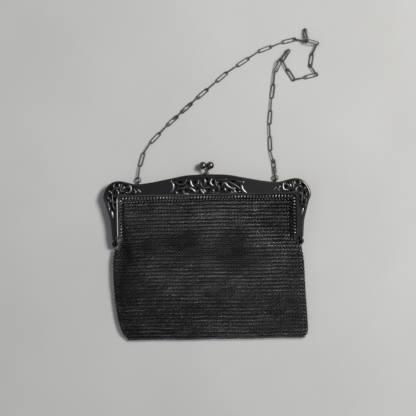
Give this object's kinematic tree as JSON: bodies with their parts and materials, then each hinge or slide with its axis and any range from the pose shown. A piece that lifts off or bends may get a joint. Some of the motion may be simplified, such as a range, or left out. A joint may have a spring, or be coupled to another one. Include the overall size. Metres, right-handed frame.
{
  "type": "metal mesh purse",
  "caption": "Flat metal mesh purse lying on its back: pierced hinged frame with a ball clasp, hollow ring-mail bag and a long link chain handle.",
  "frame": {"origin": "on the flat back, midway between the two hinges", "axes": "+Z out of the purse's front face, +Y from the bag towards the clasp, +X to the right seen from the front"},
  "size_m": [0.1689, 0.24, 0.0087],
  "materials": {
    "frame_silver": "satin tarnished nickel silver",
    "clasp_silver": "worn bright nickel silver",
    "wire_silver": "tarnished nickel silver wire",
    "mesh_silver": "dark oxidised ring mail"
  },
  "bodies": {
    "root": {"front_frame": "frame_silver", "back_frame": "frame_silver", "hinge_pin_left": "clasp_silver", "hinge_pin_right": "clasp_silver", "clasp_front": "clasp_silver", "clasp_back": "clasp_silver", "front_lacing": "wire_silver", "back_lacing": "wire_silver", "mesh_bag": "mesh_silver", "jump_ring_left": "wire_silver", "jump_ring_right": "wire_silver", "chain": "wire_silver"}
  },
  "joints": []
}
